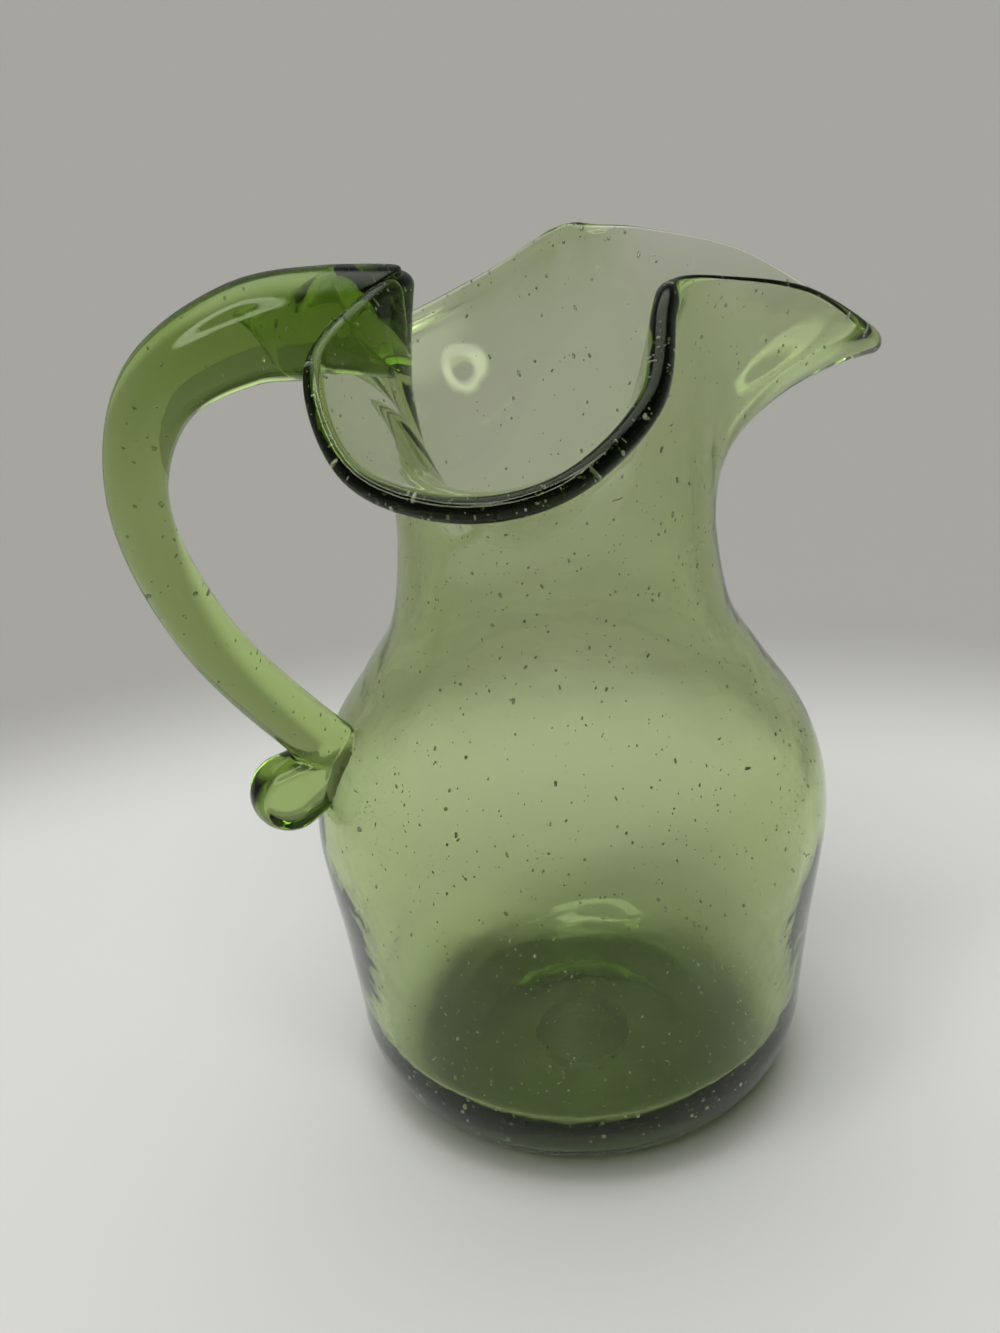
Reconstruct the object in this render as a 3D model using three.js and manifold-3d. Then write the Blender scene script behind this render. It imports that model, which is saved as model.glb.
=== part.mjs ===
// A hand-blown bubble glass pitcher, made of three gathers of green glass stuck together hot:
// the blown body, the applied handle, and the wad that the punty left under the base.
// Millimetres, +Z up. The origin is the middle of the foot, +X points to the spout and -X to the handle.

import * as THREE from "three";
import { mergeVertices } from "three/addons/utils/BufferGeometryUtils.js";
import Module from "manifold-3d";

// Blown body: outer radii, and how far each lies above the one before it, from the table up
const FOOT_RADIUS = 33.5;
const HEEL_RADIUS = 52;
const HEEL_RISE = 24;
const SIDE_RADIUS = 54.2;
const SIDE_RISE = 21;
const BELLY_RADIUS = 57.3;
const BELLY_RISE = 26;
const BREAK_RADIUS = 54;
const BREAK_RISE = 17;
const SHOULDER_RADIUS = 44.3;
const SHOULDER_RISE = 16;
const COLLAR_RADIUS = 36.6;
const COLLAR_RISE = 14;
const NECK_RADIUS = 33.4;
const NECK_RISE = 20;
const WALL = 3.6;
const HEEL_WALL = 5.5;
const BASE_THICKNESS = 8.5;
const FLOOR_CORNER = 18;

// Underside: the base is pushed up, so that the pitcher stands on a ring
const PUSH_UP_RADIUS = 27;
const PUSH_UP_DEPTH = 3.4;
const SCAR_RADIUS = 12;

// Tooled mouth: reach from the axis, and rise above the neck, of the middle of the rounded lip
const LIP_THICKNESS = 5;
const SPOUT_LIP_THICKNESS = 3.2;
const SPOUT_REACH = 71.4;
const SPOUT_RISE = 29.5;
const SPOUT_CREASE_REACH = 29.5;
const SPOUT_CREASE_RISE = 53.1;
const LOBE_REACH = 60;
const LOBE_RISE = 27.5;
const HANDLE_CREASE_REACH = 28.5;
const HANDLE_CREASE_RISE = 55;

// Applied handle: radii of the drawn rod, and where its middle runs: reach from the axis, and drop below the
// crease that it is laid in. Its foot and its nub are measured up from the belly.
const HANDLE_SEAT_RADIUS = 11;
const HANDLE_SEAT_DROP = 8;
const HANDLE_CROWN_RADIUS = 10;
const HANDLE_CROWN_REACH = 60;
const HANDLE_CROWN_DROP = 5.5;
const HANDLE_GRIP_RADIUS = 6.1;
const HANDLE_REACH = 84.6;
const HANDLE_REACH_DROP = 35;
const HANDLE_BOW = 7.2;
const HANDLE_FOOT_RADIUS = 6.2;
const HANDLE_FOOT_RISE = 22.5;
const NUB_RADIUS = 8.5;
const NUB_REACH = 17;
const NUB_RISE = 15.5;

// Hot glass is stuck together without a gap; the solids keep this much between them
const CLEARANCE = 0.3;

const BELLY_HEIGHT = HEEL_RISE + SIDE_RISE + BELLY_RISE;
const NECK_HEIGHT = BELLY_HEIGHT + BREAK_RISE + SHOULDER_RISE + COLLAR_RISE + NECK_RISE;
const CREASE_HEIGHT = NECK_HEIGHT + HANDLE_CREASE_RISE;

const BODY_SEGMENTS = 72;
const ROD_SEGMENTS = 20;
const QUARTER = Math.PI / 2;

const wasm = await Module();
wasm.setup();

const pitcher = new THREE.Group();

function add(name, geometry, color) {
  const mesh = new THREE.Mesh(geometry, new THREE.MeshStandardMaterial({ color, roughness: 0.05, metalness: 0 }));
  mesh.name = name;
  pitcher.add(mesh);
}

const polar = (radius, angle, height) =>
  new THREE.Vector3(radius * Math.cos(angle), radius * Math.sin(angle), height);

// Revolves as many rows as asked and puts each point where place(row, turn) says, with turn from 0 to 1
function revolve(rows, segments, place) {
  const blank = Array.from({ length: rows }, (_, row) => new THREE.Vector2(row, row));
  const geometry = new THREE.LatheGeometry(blank, segments);
  const position = geometry.attributes.position;
  for (let i = 0; i < position.count; i += 1) {
    const point = place(i % rows, (Math.floor(i / rows) % segments) / segments);
    position.setXYZ(i, point.x, point.y, point.z);
  }
  return closed(geometry);
}

// Merges shared corners and drops the triangles that collapse at the poles, so that the surface is closed
function closed(geometry) {
  const bare = new THREE.BufferGeometry();
  bare.setAttribute("position", geometry.attributes.position);
  bare.setIndex(geometry.index);
  const merged = mergeVertices(bare);
  const kept = [];
  for (let i = 0; i < merged.index.count; i += 3) {
    const [a, b, c] = [0, 1, 2].map((corner) => merged.index.getX(i + corner));
    if (a !== b && b !== c && c !== a) kept.push(a, b, c);
  }
  merged.setIndex(kept);
  return merged;
}

function solid(geometry) {
  const vertProperties = new Float32Array(geometry.attributes.position.array);
  const triVerts = new Uint32Array(geometry.index.array);
  return new wasm.Manifold(new wasm.Mesh({ numProp: 3, vertProperties, triVerts }));
}

function surface(manifold) {
  const mesh = manifold.getMesh();
  const geometry = new THREE.BufferGeometry();
  geometry.setAttribute("position", new THREE.BufferAttribute(mesh.vertProperties, 3));
  geometry.setIndex(new THREE.BufferAttribute(mesh.triVerts, 1));
  return geometry;
}

// Mouth stations from the spout round to the handle: the angle from the spout, how far the lip goes from its crease
// towards its lobe, outwards and downwards, and how far the wall leans out from upright, in degrees
const station = (thickness, creaseReach, creaseRise, lobeReach, lobeRise) => (angle, out, down, lean) => ({
  thickness,
  angle: THREE.MathUtils.degToRad(angle),
  reach: THREE.MathUtils.lerp(creaseReach, lobeReach, out),
  height: NECK_HEIGHT + THREE.MathUtils.lerp(creaseRise, lobeRise, down),
  lean: THREE.MathUtils.degToRad(lean),
});
const spout = station(SPOUT_LIP_THICKNESS, SPOUT_CREASE_REACH, SPOUT_CREASE_RISE, SPOUT_REACH, SPOUT_RISE);
const lobe = station(LIP_THICKNESS, SPOUT_CREASE_REACH, SPOUT_CREASE_RISE, LOBE_REACH, LOBE_RISE);
const back = station(LIP_THICKNESS, HANDLE_CREASE_REACH, HANDLE_CREASE_RISE, LOBE_REACH, LOBE_RISE);

const halfRim = [
  spout(0, 1, 1, 82),
  spout(8, 0.87, 0.7, 76),
  spout(19, 0.5, 0.2, 52),
  spout(37, 0.17, 0, 17),
  spout(52, 0.01, 0, 0),
  lobe(66, 0.17, 0.06, 17),
  lobe(85, 0.64, 0.48, 56),
  lobe(104, 0.94, 0.86, 80),
  lobe(123, 1, 1, 84),
  back(142, 1.03, 0.82, 80),
  back(157, 0.82, 0.3, 58),
  back(166, 0.3, 0.03, 20),
  back(180, 0, 0, -5),
];
const farRim = halfRim.slice(1, -1).reverse();
const rim = [...halfRim, ...farRim.map((s) => ({ ...s, angle: -s.angle }))];

const lipCurve = new THREE.CatmullRomCurve3(
  rim.map((s) => polar(s.reach, s.angle, s.height)),
  true,
  "catmullrom",
);
const leanAndThickness = new THREE.CatmullRomCurve3(
  rim.map((s) => new THREE.Vector3(s.lean, s.thickness, 0)),
  true,
  "catmullrom",
);

// Middle of the mouth's wall: turn runs from 0 to 1 round the neck, rise from 0 at the neck to 1 at the lip.
// Each meridian leaves the neck upright and runs out straight to the lip.
const UPRIGHT_SHARE = 0.5;
const RUN_OUT_SHARE = 0.42;
const WALL_MIDDLE = NECK_RADIUS - WALL / 2;

function mouthWall(turn, rise) {
  const around = ((turn % 1) + 1) % 1;
  const lip = lipCurve.getPoint(around);
  const lean = leanAndThickness.getPoint(around).x;
  const neck = polar(WALL_MIDDLE, 2 * Math.PI * around, NECK_HEIGHT);
  const climb = lip.z - NECK_HEIGHT;
  const run = Math.hypot(Math.hypot(lip.x, lip.y) - WALL_MIDDLE, climb);
  const direction = polar(Math.sin(lean), Math.atan2(lip.y, lip.x), Math.cos(lean));
  const upright = neck.clone().setZ(NECK_HEIGHT + UPRIGHT_SHARE * climb);
  const runOut = lip.clone().addScaledVector(direction, -RUN_OUT_SHARE * run);
  return new THREE.CubicBezierCurve3(neck, upright, runOut, lip).getPoint(rise);
}

// A place on the tooled mouth: to the side of the middle of the wall, and past its height along the wall, both counted
// in half thicknesses. The wall thickens or thins to the lip.
const STEP = 1e-3;
function toolMouth(turn, { rise, side, past }, swell) {
  const half = THREE.MathUtils.lerp(WALL, leanAndThickness.getPoint(turn).y, rise ** 3) / 2;
  const up = mouthWall(turn, Math.min(rise + STEP, 1)).sub(mouthWall(turn, Math.max(rise - STEP, 0)));
  const round = mouthWall(turn + STEP, rise).sub(mouthWall(turn - STEP, rise));
  const outward = round.clone().cross(up).normalize();
  return mouthWall(turn, rise)
    .addScaledVector(outward, side * half + swell)
    .addScaledVector(up.normalize(), past * half);
}

// Outline of the blown body from the heel to the neck, with a last point above it that keeps the neck upright
const outlineStations = [
  [HEEL_RADIUS, HEEL_RISE],
  [SIDE_RADIUS, SIDE_RISE],
  [BELLY_RADIUS, BELLY_RISE],
  [BREAK_RADIUS, BREAK_RISE],
  [SHOULDER_RADIUS, SHOULDER_RISE],
  [COLLAR_RADIUS, COLLAR_RISE],
  [NECK_RADIUS, NECK_RISE],
  [NECK_RADIUS, NECK_RISE],
];
let height = 0;
const outerCurve = new THREE.SplineCurve(
  outlineStations.map(([radius, rise]) => {
    height += rise;
    return new THREE.Vector2(radius, height);
  }),
);
const OUTLINE_SPANS = outerCurve.points.length - 1;
const STEPS_PER_SPAN = 2;
const outlineShares = Array.from(
  { length: (OUTLINE_SPANS - 1) * STEPS_PER_SPAN + 1 },
  (_, i) => i / STEPS_PER_SPAN / OUTLINE_SPANS,
);
const outerPoints = outlineShares.map((share) => outerCurve.getPoint(share));

// The wall thickens from the belly down to the heel
const innerPoints = outerPoints.map((point, i) => {
  const tangent = outerCurve.getTangent(outlineShares[i]);
  const thinning = THREE.MathUtils.smoothstep(point.y, HEEL_RISE, BELLY_HEIGHT);
  const wall = THREE.MathUtils.lerp(HEEL_WALL, WALL, thinning);
  return new THREE.Vector2(-tangent.y, tangent.x).multiplyScalar(wall).add(point);
});

function radiusAt(points, height) {
  const above = Math.max(points.findIndex((p) => p.y >= height), 1);
  const [low, high] = [points[above - 1], points[above]];
  return THREE.MathUtils.mapLinear(height, low.y, high.y, low.x, high.x);
}

// Quarter of an ellipse, from its lowest point out to its side
const QUARTER_STEPS = 5;
function quarter(centreX, centreY, radiusX, radiusY) {
  return new THREE.EllipseCurve(centreX, centreY, radiusX, radiusY, -QUARTER, 0).getPoints(QUARTER_STEPS);
}

// Hollow of the pushed-up base, as the height over the table at a radius
const pushUp = (radius) => PUSH_UP_DEPTH * (1 - (radius / PUSH_UP_RADIUS) ** 2);
const UNDER_STEPS = 3;
const under = Array.from({ length: UNDER_STEPS + 1 }, (_, i) => {
  const radius = (i / UNDER_STEPS) * PUSH_UP_RADIUS;
  return new THREE.Vector2(radius, pushUp(radius));
});

// Rows of the collar above the neck, without its first, and of the lip's round edge
const COLLAR_STEPS = 6;
const collarRows = (side) =>
  Array.from({ length: COLLAR_STEPS - 1 }, (_, i) => ({ rise: (i + 1) / COLLAR_STEPS, side, past: 0 }));
const LIP_STEPS = 6;
const lipRows = Array.from({ length: LIP_STEPS + 1 }, (_, i) => {
  const turn = QUARTER + (i / LIP_STEPS) * Math.PI;
  return { rise: 1, side: Math.sin(turn), past: -Math.cos(turn) };
});

// Body: the wall's outline goes from the middle of the underside up the outside, over the lip and down to the floor
const outside = [
  ...under,
  ...quarter(FOOT_RADIUS, HEEL_RISE, HEEL_RADIUS - FOOT_RADIUS, HEEL_RISE),
  ...outerPoints.slice(1),
  ...collarRows(1),
];
const cornerHeight = BASE_THICKNESS + FLOOR_CORNER;
const floorRadius = radiusAt(innerPoints, cornerHeight) - FLOOR_CORNER;
const inside = [
  new THREE.Vector2(0, BASE_THICKNESS),
  new THREE.Vector2(floorRadius / 2, BASE_THICKNESS),
  ...quarter(floorRadius, cornerHeight, FLOOR_CORNER, FLOOR_CORNER),
  ...innerPoints.filter((p) => p.y > cornerHeight + FLOOR_CORNER / QUARTER_STEPS),
  ...collarRows(-1),
];

// Rows that have a rise belong to the mouth and are tooled; the others are plain radii and heights
function blow(rows, swell) {
  return revolve(rows.length, BODY_SEGMENTS, (row, turn) => {
    const point = rows[row];
    if ("rise" in point) return toolMouth(turn, point, swell);
    return polar(point.x > 0 ? point.x + swell : 0, 2 * Math.PI * turn, point.y);
  });
}

add("body", blow([...outside, ...lipRows, ...inside.toReversed()], 0), 0x97a57c);

// The body's outer skin as a full solid, larger by the clearance, closed by a steep cone over the mouth
const lipTop = LIP_STEPS / 2;
const lid = new THREE.Vector2(0, 2 * CREASE_HEIGHT);
const envelope = solid(blow([...outside, ...lipRows.slice(0, lipTop + 1), lid], CLEARANCE));

// A rod drawn along a path in the XZ plane. Rows give the share of the path, the radius there, and how far past it.
function drawRod(path, rows) {
  const side = new THREE.Vector3(0, 1, 0);
  return revolve(rows.length, ROD_SEGMENTS, (row, turn) => {
    const { share, radius, past } = rows[row];
    const tangent = path.getTangent(share);
    const across = side.clone().cross(tangent);
    return path
      .getPoint(share)
      .addScaledVector(tangent, past)
      .addScaledVector(across, radius * Math.cos(2 * Math.PI * turn))
      .addScaledVector(side, radius * Math.sin(2 * Math.PI * turn));
  });
}

// Handle: the rod runs from inside the crease, over its crown, out to its reach and down onto the shoulder
const inPlane = (reach, height) => new THREE.Vector3(-reach, 0, height);
const crownHeight = CREASE_HEIGHT - HANDLE_CROWN_DROP;
const reachHeight = CREASE_HEIGHT - HANDLE_REACH_DROP;
const footHeight = BELLY_HEIGHT + HANDLE_FOOT_RISE;
const seatPoint = inPlane(HANDLE_CREASE_REACH - WALL, CREASE_HEIGHT - HANDLE_SEAT_DROP);
const saddlePoint = inPlane((HANDLE_CREASE_REACH + HANDLE_CROWN_REACH) / 2, crownHeight);
const crownPoint = inPlane(HANDLE_CROWN_REACH, crownHeight);
const bendPoint = inPlane(
  THREE.MathUtils.lerp(HANDLE_CROWN_REACH, HANDLE_REACH, Math.SQRT1_2),
  THREE.MathUtils.lerp(reachHeight, crownHeight, Math.SQRT1_2),
);
const reachPoint = inPlane(HANDLE_REACH, reachHeight);
const footPoint = inPlane(radiusAt(outerPoints, footHeight), footHeight);
const lowerPoint = reachPoint.clone().lerp(footPoint, 0.5).add(inPlane(HANDLE_BOW, 0));
const sunkPoint = footPoint.clone().add(inPlane(-WALL, -WALL));
const rodStations = [
  { point: seatPoint, radius: HANDLE_SEAT_RADIUS },
  { point: saddlePoint, radius: HANDLE_SEAT_RADIUS },
  { point: crownPoint, radius: HANDLE_CROWN_RADIUS },
  { point: bendPoint, radius: (HANDLE_CROWN_RADIUS + HANDLE_GRIP_RADIUS) / 2 },
  { point: reachPoint, radius: HANDLE_GRIP_RADIUS },
  { point: lowerPoint, radius: HANDLE_GRIP_RADIUS },
  { point: footPoint, radius: HANDLE_FOOT_RADIUS },
  { point: sunkPoint, radius: HANDLE_FOOT_RADIUS },
];
const rodPath = new THREE.CatmullRomCurve3(rodStations.map((s) => s.point));
const rodTaper = new THREE.SplineCurve(rodStations.map((s, i) => new THREE.Vector2(i, s.radius)));
const ROD_STEPS = 36;
const rodRows = Array.from({ length: ROD_STEPS + 1 }, (_, i) => {
  const share = i / ROD_STEPS;
  return { share, radius: rodTaper.getPoint(share).y, past: 0 };
});
const rod = drawRod(rodPath, [{ share: 0, radius: 0, past: 0 }, ...rodRows, { share: 1, radius: 0, past: 0 }]);

// The tail is folded back from the foot into a nub with a round end
const nubHeight = BELLY_HEIGHT + NUB_RISE;
const nubRoot = footPoint.clone().add(inPlane(-WALL, 0));
const nubMiddle = inPlane(radiusAt(outerPoints, nubHeight) + NUB_REACH - NUB_RADIUS, nubHeight);
const nubPath = new THREE.LineCurve3(nubRoot, nubMiddle);
const NUB_STEPS = 6;
const nubEnd = Array.from({ length: NUB_STEPS + 1 }, (_, i) => {
  const turn = (i / NUB_STEPS) * QUARTER;
  return { share: 1, radius: NUB_RADIUS * Math.cos(turn), past: NUB_RADIUS * Math.sin(turn) };
});
nubEnd[NUB_STEPS].radius = 0;
const nubRows = [{ share: 0, radius: 0, past: 0 }, { share: 0, radius: HANDLE_FOOT_RADIUS, past: 0 }, ...nubEnd];
const nub = drawRod(nubPath, nubRows);

add("handle", surface(solid(rod).add(solid(nub)).subtract(envelope)), 0x7d9450);

// Pontil scar: a wad that fills the middle of the push-up, ground flush with the foot
const SCAR_STEPS = 3;
const scarTop = Array.from({ length: SCAR_STEPS + 1 }, (_, i) => {
  const radius = SCAR_RADIUS * (1 - i / SCAR_STEPS);
  return new THREE.Vector2(radius, pushUp(radius) - CLEARANCE);
});
const scarRows = [new THREE.Vector2(0, 0), new THREE.Vector2(SCAR_RADIUS, 0), ...scarTop];
add(
  "pontil_scar",
  revolve(scarRows.length, ROD_SEGMENTS, (row, turn) => polar(scarRows[row].x, 2 * Math.PI * turn, scarRows[row].y)),
  0x8a9a6a,
);

export default pitcher;
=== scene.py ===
"""A hand-blown bubble glass pitcher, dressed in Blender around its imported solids."""

import math

import bpy
import numpy as np
from mathutils import Matrix


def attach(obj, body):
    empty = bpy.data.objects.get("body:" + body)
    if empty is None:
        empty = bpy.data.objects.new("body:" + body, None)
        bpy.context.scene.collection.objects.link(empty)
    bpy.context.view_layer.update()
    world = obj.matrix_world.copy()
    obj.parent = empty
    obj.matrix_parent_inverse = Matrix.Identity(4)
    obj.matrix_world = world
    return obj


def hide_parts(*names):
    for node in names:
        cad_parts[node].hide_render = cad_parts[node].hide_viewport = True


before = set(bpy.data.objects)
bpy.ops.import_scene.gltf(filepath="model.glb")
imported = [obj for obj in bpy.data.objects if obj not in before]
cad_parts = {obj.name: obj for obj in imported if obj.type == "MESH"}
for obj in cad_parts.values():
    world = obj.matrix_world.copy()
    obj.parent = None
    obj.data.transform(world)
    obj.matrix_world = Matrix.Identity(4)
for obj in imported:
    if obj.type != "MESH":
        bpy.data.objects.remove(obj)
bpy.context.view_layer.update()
scene = bpy.context.scene


# Body: the first gather of green soda-lime glass, blown to a belly on a thick base, drawn in to a neck,
# and tooled while hot into a spout and two side lobes. Its lip was melted back round in the furnace.
# Sizes are in millimetres.
MM = 0.001
FOOT_RADIUS = 33.5
HEEL_RADIUS = 52
HEEL_RISE = 24
SIDE_RADIUS = 54.2
SIDE_RISE = 21
BELLY_RADIUS = 57.3
BELLY_RISE = 26
BREAK_RADIUS = 54
BREAK_RISE = 17
SHOULDER_RADIUS = 44.3
SHOULDER_RISE = 16
COLLAR_RADIUS = 36.6
COLLAR_RISE = 14
NECK_RADIUS = 33.4
NECK_RISE = 20
WALL = 3.6
HEEL_WALL = 4.2
BASE_THICKNESS = 7.2
FLOOR_RADIUS = 32.7
CORNER_RISE = 24.1
PUSH_UP_RADIUS = 27
PUSH_UP_DEPTH = 3.4
LIP_THICKNESS = 5
LIP_SWELL_POWER = 8
SPOUT_LIP_THICKNESS = 1.8
SPOUT_TIP_THICKNESS = 4.8
SPOUT_SIDE_THICKNESS = 3.6
SPOUT_REACH = 71.4
SPOUT_RISE = 29.5
SPOUT_CREASE_REACH = 29.5
SPOUT_CREASE_RISE = 53.1
LOBE_REACH = 60
LOBE_RISE = 27.5
HANDLE_CREASE_REACH = 28.5
HANDLE_CREASE_RISE = 55
UPRIGHT_SHARE = 0.5
RUN_OUT_SHARE = 0.42
BELLY_HEIGHT = HEEL_RISE + SIDE_RISE + BELLY_RISE
NECK_HEIGHT = BELLY_HEIGHT + BREAK_RISE + SHOULDER_RISE + COLLAR_RISE + NECK_RISE
CREASE_HEIGHT = NECK_HEIGHT + HANDLE_CREASE_RISE
OUTER_WAVE = 0.07
OUTER_PHASE = 0.4
INNER_WAVE = 0.16
INNER_PHASE = 2.1
WAVE_LEFT_AT_LIP = 0.2
BODY_COLUMNS = 288
OUTLINE_ROWS = 85
CORNER_ROWS = 17
FLOOR_ROWS = 12
FIRST_RADIUS = 1.5
MOUTH_ROWS = 37
LIP_ROWS = 21


def spline(knots, at, closed=False, power=0.0):
    """Smooth curve through knots, where at counts knots; a power of 0.5 spaces them by their distance."""
    knots = np.asarray(knots, float)
    last = len(knots) - 1
    low = np.floor(at).astype(int)
    if not closed:
        low = np.minimum(low, last - 1)
    part = (np.asarray(at) - low)[:, None]
    around = [low + step for step in (-1, 0, 1, 2)]
    around = [index % (last + 1) if closed else np.clip(index, 0, last) for index in around]
    before, start, end, after = (knots[index] for index in around)

    def spacing(a, b):
        return np.maximum(np.linalg.norm(b - a, axis=1, keepdims=True) ** power, 1e-6)

    gap_in, gap, gap_out = spacing(before, start), spacing(start, end), spacing(end, after)
    leave = gap * ((start - before) / gap_in - (end - before) / (gap_in + gap) + (end - start) / gap)
    arrive = gap * ((end - start) / gap - (after - start) / (gap + gap_out) + (after - end) / gap_out)
    cubic = 2 * (start - end) + leave + arrive
    square = 3 * (end - start) - 2 * leave - arrive
    return start + part * (leave + part * (square + part * cubic))


def circle(columns):
    """Even angles once round."""
    return 2 * math.pi * np.arange(columns) / columns


def polar(radius, angle, height):
    """Points at a radius and an angle round the axis of the body."""
    radius, angle, height = np.broadcast_arrays(radius, angle, height)
    return np.stack([radius * np.cos(angle), radius * np.sin(angle), height], axis=-1)


def profile(radii, heights):
    """Radii and heights side by side, as rows of an outline."""
    return np.stack(np.broadcast_arrays(radii, heights), axis=1)


def unit(vectors):
    """Vectors brought to a length of one."""
    return vectors / np.linalg.norm(vectors, axis=-1, keepdims=True)


def tooled(thickness, crease_reach, crease_rise, lobe_reach, lobe_rise, stations):
    """Lip stations from their angle, shares of the way out and down from a crease to a lobe, and lean."""
    rows = []
    for angle, out, down, lean in stations:
        reach = crease_reach + out * (lobe_reach - crease_reach)
        height = NECK_HEIGHT + crease_rise + down * (lobe_rise - crease_rise)
        rows.append((math.radians(angle), reach, height, math.radians(lean), thickness))
    return rows


spout = (SPOUT_CREASE_REACH, SPOUT_CREASE_RISE, SPOUT_REACH, SPOUT_RISE)
half_lip = tooled(SPOUT_TIP_THICKNESS, *spout, [(0, 0.972, 1, 82)])
half_lip += tooled(SPOUT_SIDE_THICKNESS, *spout, [(8, 0.87, 0.76, 76)])
half_lip += tooled(SPOUT_LIP_THICKNESS, *spout, [(19, 0.52, 0.24, 52), (36, 0.17, 0, 18)])
half_lip += tooled(LIP_THICKNESS, SPOUT_CREASE_REACH, SPOUT_CREASE_RISE, LOBE_REACH, LOBE_RISE, [
    (51, 0.04, 0, 6), (67, 0.17, 0.05, 18), (85, 0.64, 0.48, 56), (104, 0.94, 0.86, 80), (123, 1, 1, 84)])
half_lip += tooled(LIP_THICKNESS, HANDLE_CREASE_REACH, HANDLE_CREASE_RISE, LOBE_REACH, LOBE_RISE, [
    (142, 1.03, 0.82, 80), (157, 0.82, 0.3, 58), (166, 0.3, 0.03, 20), (180, 0, 0, -5)])
lip = np.array(half_lip + [(-angle, *rest) for angle, *rest in half_lip[-2:0:-1]])
lip_knots = polar(lip[:, 1], lip[:, 0], lip[:, 2])
lean_knots = lip[:, 3:4]
thickness_knots = lip[:, 4:]


def mouth_middle(turn, rise):
    """Middle of the mouth's wall: a meridian leaves the neck upright and runs out straight to the lip."""
    turn = turn % 1
    edge = spline(lip_knots, turn * len(lip), closed=True)
    lean = spline(lean_knots, turn * len(lip), closed=True)[:, 0]
    neck = polar(NECK_RADIUS - WALL / 2, 2 * math.pi * turn, NECK_HEIGHT)
    climb = edge[:, 2] - NECK_HEIGHT
    run = np.hypot(np.hypot(edge[:, 0], edge[:, 1]) - NECK_RADIUS + WALL / 2, climb)
    upright = neck + polar(0, 0, UPRIGHT_SHARE * climb)
    way_out = polar(np.sin(lean), np.arctan2(edge[:, 1], edge[:, 0]), np.cos(lean))
    run_out = edge - RUN_OUT_SHARE * run[:, None] * way_out
    rest = 1 - rise
    return rest**3 * neck + 3 * rise * rest * (rest * upright + rise * run_out) + rise**3 * edge


def mouth(turn, rise, side, past=0.0, swell=0.0):
    """A ring of the mouth, to the side of the wall's middle and past its height, in half thicknesses."""
    step = 1e-3
    up = unit(mouth_middle(turn, min(rise + step, 1)) - mouth_middle(turn, max(rise - step, 0)))
    along = unit(mouth_middle(turn + step, rise) - mouth_middle(turn - step, rise))
    outward = unit(np.cross(along, up))
    thickening = spline(thickness_knots, turn * len(lip), closed=True) - WALL
    half = (WALL + thickening * rise**LIP_SWELL_POWER) / 2 + swell
    return mouth_middle(turn, rise) + half * (side * outward + past * up)


outline = np.array([
    (HEEL_RADIUS, HEEL_RISE), (SIDE_RADIUS, SIDE_RISE), (BELLY_RADIUS, BELLY_RISE),
    (BREAK_RADIUS, BREAK_RISE), (SHOULDER_RADIUS, SHOULDER_RISE), (COLLAR_RADIUS, COLLAR_RISE),
    (NECK_RADIUS, NECK_RISE), (NECK_RADIUS, NECK_RISE)])
outline[:, 1] = np.cumsum(outline[:, 1])
outer = spline(outline, np.linspace(0, len(outline) - 2, OUTLINE_ROWS))
climbing = unit(np.gradient(outer, axis=0))
inward = profile(-climbing[:, 1], climbing[:, 0])
low = np.clip((BELLY_HEIGHT - outer[:, 1:]) / (SIDE_RISE + BELLY_RISE), 0, 1)
inner = outer + (WALL + (HEEL_WALL - WALL) * low**2 * (3 - 2 * low)) * inward

quarter = np.linspace(-math.pi / 2, 0, CORNER_ROWS)
under_radii = np.linspace(FIRST_RADIUS, PUSH_UP_RADIUS, FLOOR_ROWS)
under = profile(under_radii, PUSH_UP_DEPTH * (1 - (under_radii / PUSH_UP_RADIUS) ** 2))
heel_radii = FOOT_RADIUS + (HEEL_RADIUS - FOOT_RADIUS) * np.cos(quarter)
heel = profile(heel_radii, HEEL_RISE * (1 + np.sin(quarter)))
outside = np.concatenate([under, heel, outer[1:]])

# The floor rounds up into the wall, whose slope it takes over at the top of the corner.
above_corner = int(np.searchsorted(inner[:, 1], CORNER_RISE))
side_radius, side_height = inner[above_corner]
wall_slope = np.divide(*(inner[above_corner + 1] - inner[above_corner]))
corner_climb = (side_height - BASE_THICKNESS) * (1 + np.sin(quarter))
round_off = side_radius - FLOOR_RADIUS - wall_slope * (side_height - BASE_THICKNESS)
corner_radii = FLOOR_RADIUS + round_off * np.cos(quarter) + wall_slope * corner_climb
corner = profile(corner_radii, BASE_THICKNESS + corner_climb)
floor = profile(np.linspace(FIRST_RADIUS, FLOOR_RADIUS, FLOOR_ROWS)[:-1], BASE_THICKNESS)
inside = np.concatenate([floor, corner, inner[above_corner + 1:]])

turns = np.arange(BODY_COLUMNS) / BODY_COLUMNS
rises = np.linspace(0, 1, MOUTH_ROWS)[1:-1]
round_lip = math.pi / 2 + np.linspace(0, math.pi, LIP_ROWS)


def plain_rings(rows):
    """Rings of the body below the mouth, from radii and heights."""
    return polar(rows[:, :1], 2 * math.pi * turns, rows[:, 1:])


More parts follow.
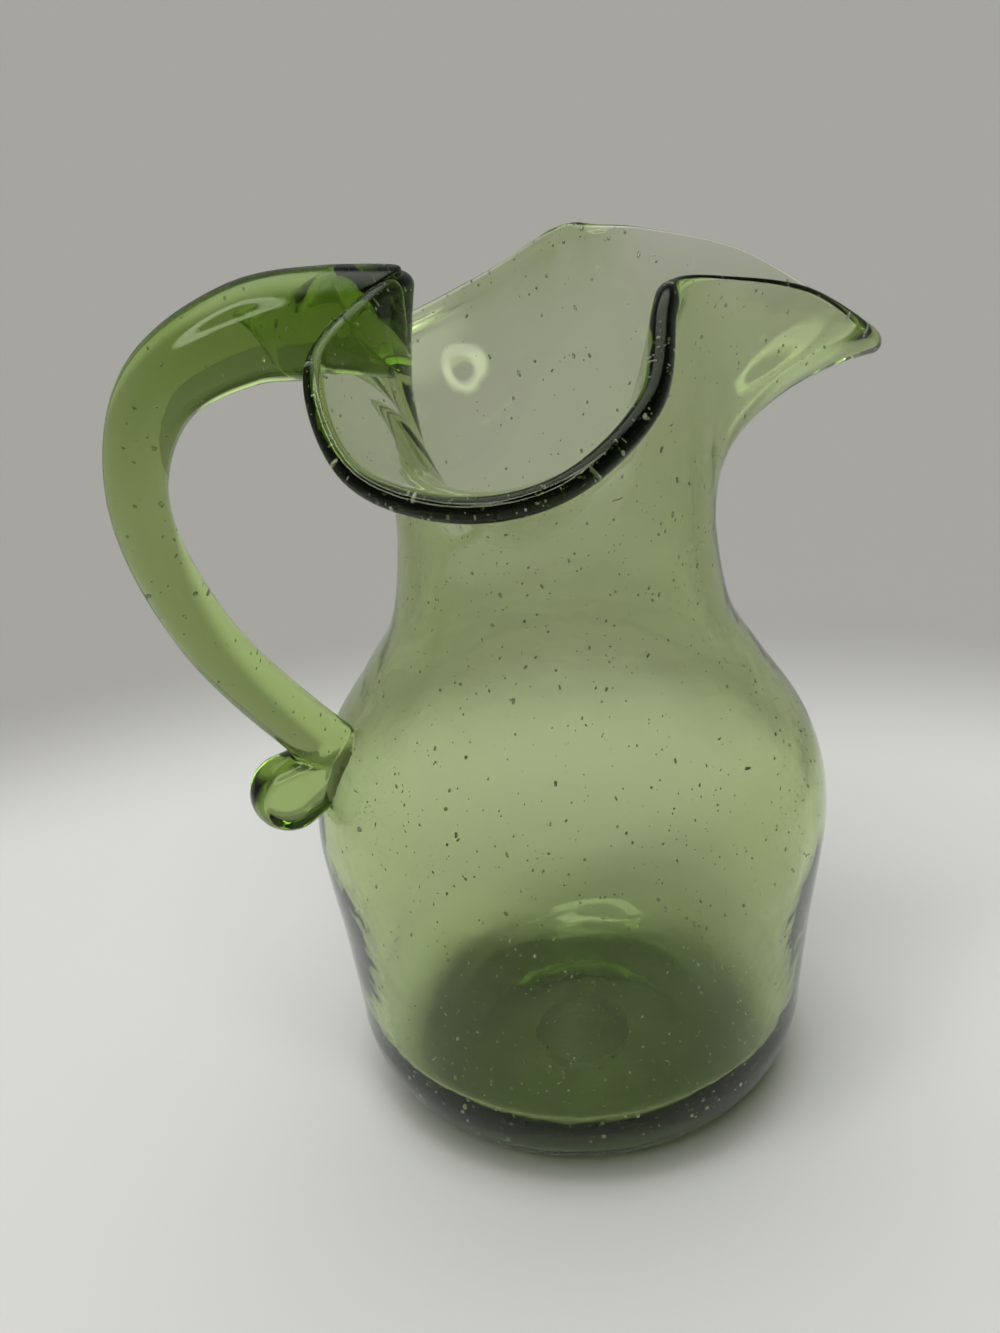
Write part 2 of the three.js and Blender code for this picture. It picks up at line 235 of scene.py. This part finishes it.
def unevenness(rings, depth, phase):
    """Rings moved along their normals by the slow waves that blowing and tooling leave in the glass."""
    across = np.roll(rings, -1, axis=1) - np.roll(rings, 1, axis=1)
    normals = unit(np.cross(across, np.gradient(rings, axis=0)))
    angle = np.arctan2(rings[..., 1], rings[..., 0])
    height = rings[..., 2]
    # Each wave has its share of the depth, its turns round the body and its millimetres for a radian.
    bands = 0.2 * np.sin(height / 5.1 + 2 * np.sin(angle + phase))
    bands += 0.1 * np.sin(height / 2.9 - 3 * angle + phase)
    swells = 0.5 * np.sin(2 * angle + height / 17 + phase) + 0.3 * np.sin(5 * angle - height / 23)
    ribs = 0.4 * np.sin(13 * angle + 1.5 * np.sin(height / 19))
    above_heel = np.clip((height - HEEL_RISE) / (SIDE_RISE + BELLY_RISE), 0, 1)
    below_lip = np.clip((CREASE_HEIGHT - height) / HANDLE_CREASE_RISE + WAVE_LEFT_AT_LIP, 0, 1)
    wave = (bands + swells + ribs) * (above_heel * below_lip)
    return rings + depth * wave[..., None] * normals


outer_collar = np.stack([mouth(turns, rise, 1) for rise in rises])
lip_edge = np.stack([mouth(turns, 1, math.sin(angle), -math.cos(angle)) for angle in round_lip])
inner_collar = np.stack([mouth(turns, rise, -1) for rise in rises])
outer_rings = unevenness(np.concatenate([plain_rings(outside), outer_collar]), OUTER_WAVE, OUTER_PHASE)
inner_rings = unevenness(np.concatenate([plain_rings(inside), inner_collar]), INNER_WAVE, INNER_PHASE)


def lay_skin(name, rings, poles=()):
    """A mesh over rings of points, closed where a first and a last pole are given."""
    rows, columns = rings.shape[:2]
    points = np.concatenate([rings.reshape(-1, 3), np.reshape(poles, (-1, 3))]) * MM
    ring = np.arange(rows * columns).reshape(rows, columns)
    beside = np.roll(ring, -1, axis=1)
    faces = np.stack([ring[:-1], beside[:-1], beside[1:], ring[1:]], axis=-1).reshape(-1, 4).tolist()
    if len(poles):
        start, end = len(points) - 2, len(points) - 1
        faces += [(start, b, a) for a, b in zip(ring[0].tolist(), beside[0].tolist())]
        faces += [(a, b, end) for a, b in zip(ring[-1].tolist(), beside[-1].tolist())]
    mesh = bpy.data.meshes.new(name)
    mesh.from_pydata(points.tolist(), [], faces)
    mesh.shade_smooth()
    piece = bpy.data.objects.new(name, mesh)
    scene.collection.objects.link(piece)
    return piece


blown_body = lay_skin(
    "blown_body", np.concatenate([outer_rings, lip_edge, inner_rings[::-1]]),
    [(0, 0, PUSH_UP_DEPTH), (0, 0, BASE_THICKNESS)])


def linear(hex_colour):
    """A sRGB hex colour as linear red, green, blue and alpha."""
    parts = [int(hex_colour[i:i + 2], 16) / 255 for i in (1, 3, 5)]
    return [p / 12.92 if p <= 0.04045 else ((p + 0.055) / 1.055) ** 2.4 for p in parts] + [1.0]


def add_node(tree, kind, inputs=None, **settings):
    """A node with its settings, and its inputs set to values or linked to other nodes' outputs."""
    node = tree.nodes.new(kind)
    for key, value in settings.items():
        setattr(node, key, value)
    for key, value in (inputs or {}).items():
        if isinstance(value, bpy.types.NodeSocket):
            tree.links.new(value, node.inputs[key])
        else:
            node.inputs[key].default_value = value
    return node


def new_material(name):
    """A material with an empty node tree, and that tree."""
    material = bpy.data.materials.new(name)
    material.use_nodes = True
    material.node_tree.nodes.clear()
    return material, material.node_tree


# Green soda-lime glass, blown and fire-polished: clear as water at the surface, and greener the thicker
# it is, with faint ripples from the tools.
CLEAR = (1, 1, 1, 1)
GLASS_IOR = 1.52
GLASS_TINT = "#C9DC86"
GLASS_TINT_PER_METRE = 165.0
GLASS_SHINE = "#B4BEA0"
RIPPLE = 6.0
RIPPLE_DEPTH = 1.0
RIPPLE_STRENGTH = 0.04
green_glass, glass_tree = new_material("green_soda_lime_glass")
glass_place = add_node(glass_tree, "ShaderNodeTexCoord")
ripples = add_node(glass_tree, "ShaderNodeTexNoise", {
    "Vector": glass_place.outputs["Object"], "Scale": 1 / (RIPPLE * MM), "Detail": 1.0})
ripple_relief = add_node(glass_tree, "ShaderNodeBump", {
    "Height": ripples.outputs["Fac"], "Strength": RIPPLE_STRENGTH, "Distance": RIPPLE_DEPTH * MM})
glass_surface = add_node(glass_tree, "ShaderNodeBsdfPrincipled", {
    "Base Color": CLEAR, "Roughness": 0.0, "IOR": GLASS_IOR, "Transmission Weight": 1.0,
    "Specular Tint": linear(GLASS_SHINE), "Normal": ripple_relief.outputs["Normal"]})
glass_depth = add_node(glass_tree, "ShaderNodeVolumeAbsorption", {
    "Color": linear(GLASS_TINT), "Density": GLASS_TINT_PER_METRE})
add_node(glass_tree, "ShaderNodeOutputMaterial", {
    "Surface": glass_surface.outputs[0], "Volume": glass_depth.outputs[0]})

blown_body.data.materials.append(green_glass)
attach(blown_body, "root")
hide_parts("body")


# Seeds: the fine bubbles that give bubble glass its name, stirred into the melt, spread through the wall
# when it is blown, and drawn out upwards. They lie thickest where the glass gathers, in the base and in
# the lip. Their numbers are for a square metre.
WALL_SEEDS = 32000
BASE_SEEDS = 40000
LIP_SEEDS = 60000
SEED_RADIUS = 0.11
LARGEST_SEED_RADIUS = 0.38
LARGEST_BASE_SEED_RADIUS = 0.6
LARGEST_LIP_SEED_RADIUS = 0.5
FEW_LARGE_POWER = 3.0
SEED_STRETCH = 2.2
THICK_GLASS_STRETCH = 1.3
SEED_LEAN = 0.5
SEED_DEPTH = 0.7
BASE_MARGIN = 2
HEEL_ROWS_LEFT_OUT = 3
LIP_TUBE_SHARE = 0.6
LEAST_TUBE_SHARE = 0.01
LIP_TUBE_ROWS = 9


def finish_mesh(piece):
    """Applies a piece's modifiers and leaves a plain mesh."""
    graph = bpy.context.evaluated_depsgraph_get()
    mesh = bpy.data.meshes.new_from_object(piece.evaluated_get(graph), depsgraph=graph)
    piece.modifiers.clear()
    piece.data = mesh
    mesh.shade_smooth()


# Trapped air: it bends the light the other way from glass and mirrors it from its walls, so that a seed
# is a dark dot on a bright ground and a white one in dark glass. A high index gives the same two looks.
AIR_LOOK_IOR = 2.0
AIR_CLEARNESS = 0.7
trapped_air, air_tree = new_material("trapped_air")
glint = add_node(air_tree, "ShaderNodeBsdfPrincipled", {
    "Base Color": CLEAR, "Roughness": 0.0, "IOR": AIR_LOOK_IOR, "Transmission Weight": AIR_CLEARNESS})
add_node(air_tree, "ShaderNodeOutputMaterial", {"Surface": glint.outputs[0]})

seeding = bpy.data.node_groups.new("seeding", "GeometryNodeTree")
seeding.interface.new_socket("Surface", in_out="INPUT", socket_type="NodeSocketGeometry")
number_inputs = ("Seeds per square metre", "Smallest radius", "Largest radius", "Stretch", "Lean", "Depth")
seeding_inputs = {}
for label in (*number_inputs, "Draw"):
    kind = "NodeSocketFloat" if label in number_inputs else "NodeSocketInt"
    socket = seeding.interface.new_socket(label, in_out="INPUT", socket_type=kind)
    seeding_inputs[label] = socket.identifier
seeding.interface.new_socket("Seeds", in_out="OUTPUT", socket_type="NodeSocketGeometry")
given = add_node(seeding, "NodeGroupInput").outputs
strewn = add_node(seeding, "GeometryNodeDistributePointsOnFaces", {
    "Mesh": given["Surface"], "Density": given["Seeds per square metre"], "Seed": given["Draw"]})
below = add_node(seeding, "ShaderNodeMath", {0: 0.0, 1: given["Depth"]}, operation="SUBTRACT")
deep = add_node(seeding, "FunctionNodeRandomValue", {2: below.outputs[0], 3: given["Depth"], "Seed": 1})
inset = add_node(seeding, "ShaderNodeVectorMath", {
    0: strewn.outputs["Normal"], "Scale": deep.outputs[1]}, operation="SCALE")
sunk = add_node(seeding, "GeometryNodeSetPosition", {
    "Geometry": strewn.outputs["Points"], "Offset": inset.outputs[0]})
chance = add_node(seeding, "FunctionNodeRandomValue", {2: 0.0, 3: 1.0, "Seed": 2})
few_large = add_node(seeding, "ShaderNodeMath", {
    0: chance.outputs[1], 1: FEW_LARGE_POWER}, operation="POWER")
seed_radius = add_node(seeding, "ShaderNodeMapRange", {
    "Value": few_large.outputs[0], "To Min": given["Smallest radius"], "To Max": given["Largest radius"]})
drawn = add_node(seeding, "FunctionNodeRandomValue", {2: 1.0, 3: given["Stretch"], "Seed": 3})
length = add_node(seeding, "ShaderNodeMath", {
    0: seed_radius.outputs[0], 1: drawn.outputs[1]}, operation="MULTIPLY")
size = add_node(seeding, "ShaderNodeCombineXYZ", {
    0: seed_radius.outputs[0], 1: seed_radius.outputs[0], 2: length.outputs[0]})
sway = add_node(seeding, "FunctionNodeRandomValue", {
    0: (-1, -1, 0), 1: (1, 1, 0), "Seed": 4}, data_type="FLOAT_VECTOR")
leaning = add_node(seeding, "ShaderNodeVectorMath", {
    0: sway.outputs[0], "Scale": given["Lean"]}, operation="SCALE")
drawn_way = add_node(seeding, "ShaderNodeVectorMath", {
    0: leaning.outputs[0], 1: (0, 0, 1)}, operation="ADD")
turned = add_node(seeding, "FunctionNodeAlignRotationToVector", {"Vector": drawn_way.outputs[0]}, axis="Z")
bubble = add_node(seeding, "GeometryNodeMeshIcoSphere", {"Radius": 1.0, "Subdivisions": 2})
placed = add_node(seeding, "GeometryNodeInstanceOnPoints", {
    "Points": sunk.outputs[0], "Instance": bubble.outputs[0], "Rotation": turned.outputs[0],
    "Scale": size.outputs[0]})
real = add_node(seeding, "GeometryNodeRealizeInstances", {0: placed.outputs[0]})
filled = add_node(seeding, "GeometryNodeSetMaterial", {
    "Geometry": real.outputs[0], "Material": trapped_air})
add_node(seeding, "NodeGroupOutput", {"Seeds": filled.outputs[0]})


def strew(name, rings, density, depth, largest, stretch, draw):
    """Seeds strewn over a surface inside the glass, as one plain mesh."""
    piece = lay_skin(name, rings)
    spread = piece.modifiers.new("seeding", "NODES")
    spread.node_group = seeding
    choices = {
        "Seeds per square metre": density, "Smallest radius": SEED_RADIUS * MM, "Stretch": stretch,
        "Largest radius": largest * MM, "Lean": SEED_LEAN, "Depth": depth * MM, "Draw": draw}
    for label, value in choices.items():
        spread[seeding_inputs[label]] = value
    finish_mesh(piece)
    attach(piece, "root")


wall_middle = plain_rings((outer + inner) / 2)
collar_middle = np.stack([mouth(turns, rise, 0) for rise in rises[:-1]])
wall_and_collar = np.concatenate([wall_middle, collar_middle])
base_radii = np.linspace(BASE_MARGIN, FLOOR_RADIUS - BASE_MARGIN, FLOOR_ROWS)
push_up = PUSH_UP_DEPTH * np.clip(1 - (base_radii / PUSH_UP_RADIUS) ** 2, 0, 1)
base_rows = profile(base_radii, (BASE_THICKNESS + push_up) / 2)
base_middle = plain_rings(np.concatenate([base_rows, (heel + corner)[HEEL_ROWS_LEFT_OUT:] / 2]))
thicker = spline(thickness_knots, turns * len(lip), closed=True) - SPOUT_LIP_THICKNESS
tube = LIP_TUBE_SHARE * np.clip(thicker / (LIP_THICKNESS - SPOUT_LIP_THICKNESS), LEAST_TUBE_SHARE, 1)
lip_tube = np.stack([
    mouth(turns, 1, tube * math.sin(angle), -tube * math.cos(angle))
    for angle in np.linspace(0, 2 * math.pi, LIP_TUBE_ROWS)])
strew("wall_seeds", wall_and_collar, WALL_SEEDS, SEED_DEPTH, LARGEST_SEED_RADIUS, SEED_STRETCH, draw=5)
strew("base_seeds", base_middle, BASE_SEEDS, 2 * SEED_DEPTH, LARGEST_BASE_SEED_RADIUS,
      THICK_GLASS_STRETCH, draw=6)
strew("lip_seeds", lip_tube, LIP_SEEDS, SEED_DEPTH / 2, LARGEST_LIP_SEED_RADIUS,
      THICK_GLASS_STRETCH, draw=7)


# Handle: the second gather, laid hot into the crease at the back of the lip, drawn out over its crown and
# down onto the shoulder, where its tail is folded back into a nub. It is the same glass, only thicker.
HANDLE_SEAT_RADIUS = 11
HANDLE_SEAT_DROP = 8
HANDLE_CROWN_RADIUS = 10
HANDLE_CROWN_REACH = 60
HANDLE_CROWN_DROP = 5.5
HANDLE_GRIP_RADIUS = 6.1
HANDLE_REACH = 84.6
HANDLE_REACH_DROP = 35
HANDLE_BOW = 7.2
HANDLE_FOOT_RADIUS = 6.2
HANDLE_FOOT_RISE = 22.5
HANDLE_FUSED = 0.4
NUB_RADIUS = 8.5
NUB_REACH = 17
NUB_RISE = 15.5
NUB_PINCH = 6
MELT_VOXEL = 0.4
FLOW_FACTOR = 0.5
FLOW_STEPS = 12
ROD_COLUMNS = 64
ROD_ROWS = 180
NUB_ROWS = 13
NUB_END_ROWS = 25
SEEDED_SHARE = 0.5
ROD_ROWS_LEFT_OUT = 20


def body_radius(height):
    """Outer radius of the body below the mouth."""
    return float(np.interp(height, outer[:, 1], outer[:, 0]))


def draw_rod(middles, radii):
    """Rings of a rod along a line in the upright plane of spout and handle."""
    ahead = unit(np.gradient(middles, axis=0))
    side = np.array([0.0, 1.0, 0.0])
    across = np.cross(side, ahead)
    angle = circle(ROD_COLUMNS)[None, :, None]
    rings = across[:, None] * np.cos(angle) + side * np.sin(angle)
    return middles[:, None] + radii[:, None, None] * rings


crown_height = CREASE_HEIGHT - HANDLE_CROWN_DROP
reach_height = CREASE_HEIGHT - HANDLE_REACH_DROP
foot_height = BELLY_HEIGHT + HANDLE_FOOT_RISE
foot_reach = body_radius(foot_height)
bend = math.sqrt(0.5)
rod_stations = np.array([
    (HANDLE_CREASE_REACH - WALL, CREASE_HEIGHT - HANDLE_SEAT_DROP, HANDLE_SEAT_RADIUS),
    ((HANDLE_CREASE_REACH + HANDLE_CROWN_REACH) / 2, crown_height, HANDLE_SEAT_RADIUS),
    (HANDLE_CROWN_REACH, crown_height, HANDLE_CROWN_RADIUS),
    (HANDLE_CROWN_REACH + bend * (HANDLE_REACH - HANDLE_CROWN_REACH),
     reach_height + bend * (crown_height - reach_height), (HANDLE_CROWN_RADIUS + HANDLE_GRIP_RADIUS) / 2),
    (HANDLE_REACH, reach_height, HANDLE_GRIP_RADIUS),
    ((HANDLE_REACH + foot_reach) / 2 + HANDLE_BOW, (reach_height + foot_height) / 2, HANDLE_GRIP_RADIUS),
    (foot_reach, foot_height, HANDLE_FOOT_RADIUS),
    (foot_reach - WALL, foot_height - WALL, HANDLE_FOOT_RADIUS)])
rod_at = np.linspace(0, len(rod_stations) - 1, ROD_ROWS)
rod_line = spline(rod_stations[:, :2], rod_at, power=0.5)
rod_middles = np.stack([-rod_line[:, 0], 0 * rod_at, rod_line[:, 1]], axis=1)
rod_radii = spline(rod_stations[:, 2:], rod_at)[:, 0]
rod = lay_skin("drawn_handle", draw_rod(rod_middles, rod_radii), [rod_middles[0], rod_middles[-1]])

nub_height = BELLY_HEIGHT + NUB_RISE
nub_root = np.array([WALL - foot_reach, 0, foot_height])
nub_middle = np.array([NUB_RADIUS - NUB_REACH - body_radius(nub_height), 0, nub_height])
nub_way = unit(nub_middle - nub_root)
round_end = np.linspace(0, math.pi / 2, NUB_END_ROWS)[1:-1]
nub_line = [nub_root + part * (nub_middle - nub_root) for part in np.linspace(0, 1, NUB_ROWS)]
nub_line += [nub_middle + NUB_RADIUS * math.sin(angle) * nub_way for angle in round_end]
nub_radii = np.concatenate([
    np.linspace(HANDLE_FOOT_RADIUS, NUB_RADIUS, NUB_ROWS), NUB_RADIUS * np.cos(round_end)])
nub_rings = draw_rod(np.array(nub_line), nub_radii)
nub_rings[..., 1] = np.clip(nub_rings[..., 1], -NUB_PINCH, NUB_PINCH)
nub = lay_skin("nub", nub_rings, [nub_root, nub_middle + NUB_RADIUS * nub_way])

# The seat is the body's outer surface, set in a little, so that the handle runs into the glass there.
outer_lip = round_lip[:len(round_lip) // 2 + 1]
seat_collar = [mouth(turns, rise, 1, swell=-HANDLE_FUSED) for rise in rises]
seat_lip = [mouth(turns, 1, math.sin(angle), -math.cos(angle), -HANDLE_FUSED) for angle in outer_lip]
seat_rings = np.concatenate([plain_rings(outside - [HANDLE_FUSED, 0]), seat_collar, seat_lip])
seat = lay_skin("seat", seat_rings, [(0, 0, PUSH_UP_DEPTH), (0, 0, 2 * CREASE_HEIGHT)])

for tool, operation in ((nub, "UNION"), (seat, "DIFFERENCE")):
    stick = rod.modifiers.new(tool.name, "BOOLEAN")
    stick.object = tool
    stick.operation = operation
    stick.solver = "EXACT"
melt = rod.modifiers.new("melt", "REMESH")
melt.mode = "VOXEL"
melt.voxel_size = MELT_VOXEL * MM
flow = rod.modifiers.new("flow", "SMOOTH")
flow.factor = FLOW_FACTOR
flow.iterations = FLOW_STEPS
finish_mesh(rod)
for tool in (nub, seat):
    bpy.data.objects.remove(tool)
rod.data.materials.clear()
rod.data.materials.append(green_glass)
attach(rod, "root")
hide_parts("handle")
seeded_rod = draw_rod(rod_middles, SEEDED_SHARE * rod_radii)[ROD_ROWS_LEFT_OUT:-ROD_ROWS_LEFT_OUT]
strew("handle_seeds", seeded_rod, WALL_SEEDS, SEED_DEPTH, LARGEST_SEED_RADIUS, SEED_STRETCH, draw=8)


# Pontil scar: the wad that the iron left under the base when the pitcher was broken off it, ground flat
# on a wheel so that the foot stands level. It fills the middle of the push-up, and its face is frosted.
SCAR_RADIUS = 12
SCAR_INSET = 0.5
SCAR_FUSED = 0.2
SCAR_COLUMNS = 96
SCAR_ROWS = 10
SCAR_FIRST_SHARE = 0.05
SCAR_SHARP_ANGLE = 40
scar_turns = circle(SCAR_COLUMNS)
# The edge is a little ragged, in three waves and in seven.
scar_edge = SCAR_RADIUS - SCAR_INSET + 0.3 * np.sin(3 * scar_turns + 0.7)
scar_edge += 0.2 * np.sin(7 * scar_turns)
scar_shares = np.linspace(SCAR_FIRST_SHARE, 1, SCAR_ROWS)
scar_face = [polar(share * scar_edge, scar_turns, 0) for share in scar_shares]
scar_back = [polar(share * scar_edge, scar_turns, 0) for share in scar_shares[::-1]]
for ring in scar_back:
    squared_radius = ring[:, 0] ** 2 + ring[:, 1] ** 2
    ring[:, 2] = PUSH_UP_DEPTH * (1 - squared_radius / PUSH_UP_RADIUS**2) + SCAR_FUSED
scar = lay_skin(
    "ground_scar", np.stack(scar_face + scar_back), [(0, 0, 0), (0, 0, PUSH_UP_DEPTH + SCAR_FUSED)])
scar.data.set_sharp_from_angle(angle=math.radians(SCAR_SHARP_ANGLE))

# Ground glass: glass of the same index, left without tint, with a face that a grinding wheel has frosted.
# The grit is drawn coarser than a wheel's, so that it shows.
GRIT = 0.8
GRIT_DEPTH = 0.5
GRIT_STRENGTH = 0.2
GROUND_ROUGHNESS = 0.35
ground_glass, ground_tree = new_material("ground_green_glass")
ground_place = add_node(ground_tree, "ShaderNodeTexCoord")
grit = add_node(ground_tree, "ShaderNodeTexNoise", {
    "Vector": ground_place.outputs["Object"], "Scale": 1 / (GRIT * MM), "Detail": 2.0})
grit_relief = add_node(ground_tree, "ShaderNodeBump", {
    "Height": grit.outputs["Fac"], "Strength": GRIT_STRENGTH, "Distance": GRIT_DEPTH * MM})
ground_surface = add_node(ground_tree, "ShaderNodeBsdfPrincipled", {
    "Base Color": CLEAR, "Roughness": GROUND_ROUGHNESS, "IOR": GLASS_IOR, "Transmission Weight": 1.0,
    "Normal": grit_relief.outputs["Normal"]})
add_node(ground_tree, "ShaderNodeOutputMaterial", {"Surface": ground_surface.outputs[0]})
scar.data.materials.append(ground_glass)
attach(scar, "root")
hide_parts("pontil_scar")


# Table: pale matt card that lies just below the foot, with painted shade that darkens it under the foot and
# painted shade that turns it grey towards the back. Both are painted in rounds: one about the foot, and a
# wide one about a place on the camera's side.
TABLE_PALE = "#D3D3D0"
# The darker colour is painted shade under the foot, and the grey far colour is painted shade at the back.
TABLE_SHADED = "#A8A8A4"
TABLE_FAR_SHADE = "#A2A19C"
TABLE_SHADE_RADII = (40, 58)
TABLE_MIDDLE = (-56, -192)
TABLE_FADE_RADII = (335, 445)
TABLE_RADIUS = 3000
TABLE_INNER_RADIUS = 40
TABLE_DROP = 0.05
TABLE_DEPTH = 50
TABLE_COLUMNS = 96
table_radii = (TABLE_RADIUS, TABLE_INNER_RADIUS)
table_rings = np.stack([polar(radius, circle(TABLE_COLUMNS), -TABLE_DROP) for radius in table_radii])
table = lay_skin("table", table_rings, [(0, 0, -TABLE_DEPTH), (0, 0, -TABLE_DROP)])
table.data.shade_flat()
shaded_card, card_tree = new_material("card_with_painted_shade")
card_place = add_node(card_tree, "ShaderNodeTexCoord")
painted_rounds = (
    ((0, 0), TABLE_SHADE_RADII, TABLE_PALE),
    (TABLE_MIDDLE, TABLE_FADE_RADII, TABLE_FAR_SHADE))
card_and_shade_colour = linear(TABLE_SHADED)
for middle, (near, far), outer_colour in painted_rounds:
    away = add_node(card_tree, "ShaderNodeVectorMath", {
        0: card_place.outputs["Object"], 1: [c * MM for c in middle] + [0]}, operation="DISTANCE")
    blend = add_node(card_tree, "ShaderNodeMapRange", {
        "Value": away.outputs["Value"], "From Min": near * MM, "From Max": far * MM},
        interpolation_type="SMOOTHSTEP")
    mixed = add_node(card_tree, "ShaderNodeMix", {
        "Factor": blend.outputs[0], 6: card_and_shade_colour, 7: linear(outer_colour)}, data_type="RGBA")
    card_and_shade_colour = mixed.outputs[2]
matt = add_node(card_tree, "ShaderNodeBsdfPrincipled", {
    "Base Color": card_and_shade_colour, "Roughness": 1.0, "Specular IOR Level": 0.0})
add_node(card_tree, "ShaderNodeOutputMaterial", {"Surface": matt.outputs[0]})
table.data.materials.append(shaded_card)


# Room: grey behind the pitcher, darker in front of it and overhead, with a soft bright patch above it and
# a ring lamp high on the camera's left, which the glass mirrors as a small ring. All of it is in the world.
ROOM_DARK = "#6A6A6A"
ROOM_GREY = "#828280"
ROOM_CEILING = "#4C4C4C"
ROOM_STRENGTH = 1.14
FRONT_TO_BACK = (-0.6, 0.2)
WALL_TO_CEILING = (0.3, 0.7)
SKY_WAY = (0.0, 0.3, 0.954)
SKY_EDGE = (0.8, 0.95)
SKY_GLOW = 1.7
RING_AZIMUTH = math.radians(-128)
RING_ELEVATION = math.radians(61)
RING_OUTER = math.radians(21)
RING_INNER = math.radians(12)
RING_BLUR = math.radians(2)
RING_GLOW = 6.5
room = bpy.data.worlds.new("grey_room")
room.use_nodes = True
room_tree = room.node_tree
room_tree.nodes.clear()
looking = add_node(room_tree, "ShaderNodeTexCoord").outputs["Generated"]
ways = add_node(room_tree, "ShaderNodeSeparateXYZ", {0: looking})
to_sky = add_node(room_tree, "ShaderNodeVectorMath", {0: looking, 1: SKY_WAY}, operation="DOT_PRODUCT")
ring_way = polar(math.cos(RING_ELEVATION), RING_AZIMUTH, math.sin(RING_ELEVATION)).tolist()
to_ring = add_node(room_tree, "ShaderNodeVectorMath", {0: looking, 1: ring_way}, operation="DOT_PRODUCT")
soft_edges = (
    (ways.outputs["Y"], FRONT_TO_BACK),
    (ways.outputs["Z"], WALL_TO_CEILING),
    (to_sky.outputs["Value"], SKY_EDGE),
    (to_ring.outputs["Value"], (math.cos(RING_OUTER + RING_BLUR), math.cos(RING_OUTER - RING_BLUR))),
    (to_ring.outputs["Value"], (math.cos(RING_INNER + RING_BLUR), math.cos(RING_INNER - RING_BLUR))))
behind, above, overhead, within, hollow = (
    add_node(room_tree, "ShaderNodeMapRange", {"Value": value, "From Min": start, "From Max": end},
             interpolation_type="SMOOTHSTEP")
    for value, (start, end) in soft_edges)
ring_band = add_node(room_tree, "ShaderNodeMath", {
    0: within.outputs[0], 1: hollow.outputs[0]}, operation="SUBTRACT")
layers = (
    (behind, linear(ROOM_GREY)), (above, linear(ROOM_CEILING)),
    (overhead, [SKY_GLOW] * 3 + [1.0]), (ring_band, [RING_GLOW] * 3 + [1.0]))
light = linear(ROOM_DARK)
for cover, colour in layers:
    layer = add_node(room_tree, "ShaderNodeMix", {
        "Factor": cover.outputs[0], 6: light, 7: colour}, data_type="RGBA")
    light = layer.outputs[2]
glow = add_node(room_tree, "ShaderNodeBackground", {"Color": light, "Strength": ROOM_STRENGTH})
add_node(room_tree, "ShaderNodeOutputWorld", {"Surface": glow.outputs[0]})
scene.world = room

# Glass within glass takes many bounces.
LIGHT_BOUNCES = 32
scene.cycles.max_bounces = LIGHT_BOUNCES
scene.cycles.transmission_bounces = LIGHT_BOUNCES


# Camera: a phone held a little above the lip, in front of the pitcher and slightly to the handle's side.
# Angles are in degrees.
PHOTO_HEIGHT = 1333
FOCAL_PIXELS = 1787.64
SENSOR = 36
CLIP_START = 10
CAMERA_AZIMUTH = -16.18
CAMERA_DISTANCE = 348.93
CAMERA_HEIGHT = 282.5
CAMERA_PAN = 2.28
CAMERA_TILT = 26.93
CAMERA_ROLL = 4.07
lens = bpy.data.cameras.new("phone")
lens.sensor_fit = "AUTO"
lens.sensor_width = SENSOR
lens.lens = SENSOR * FOCAL_PIXELS / PHOTO_HEIGHT
lens.clip_start = CLIP_START * MM
camera = bpy.data.objects.new("phone", lens)
stand = math.radians(CAMERA_AZIMUTH)
camera_away = CAMERA_DISTANCE * MM
spot = (camera_away * math.sin(stand), -camera_away * math.cos(stand), CAMERA_HEIGHT * MM)
pan = Matrix.Rotation(math.radians(CAMERA_AZIMUTH + CAMERA_PAN), 4, "Z")
tilt = Matrix.Rotation(math.radians(90 - CAMERA_TILT), 4, "X")
roll = Matrix.Rotation(math.radians(-CAMERA_ROLL), 4, "Z")
camera.matrix_world = Matrix.Translation(spot) @ pan @ tilt @ roll
scene.collection.objects.link(camera)
scene.camera = camera
scene.view_settings.view_transform = "Standard"
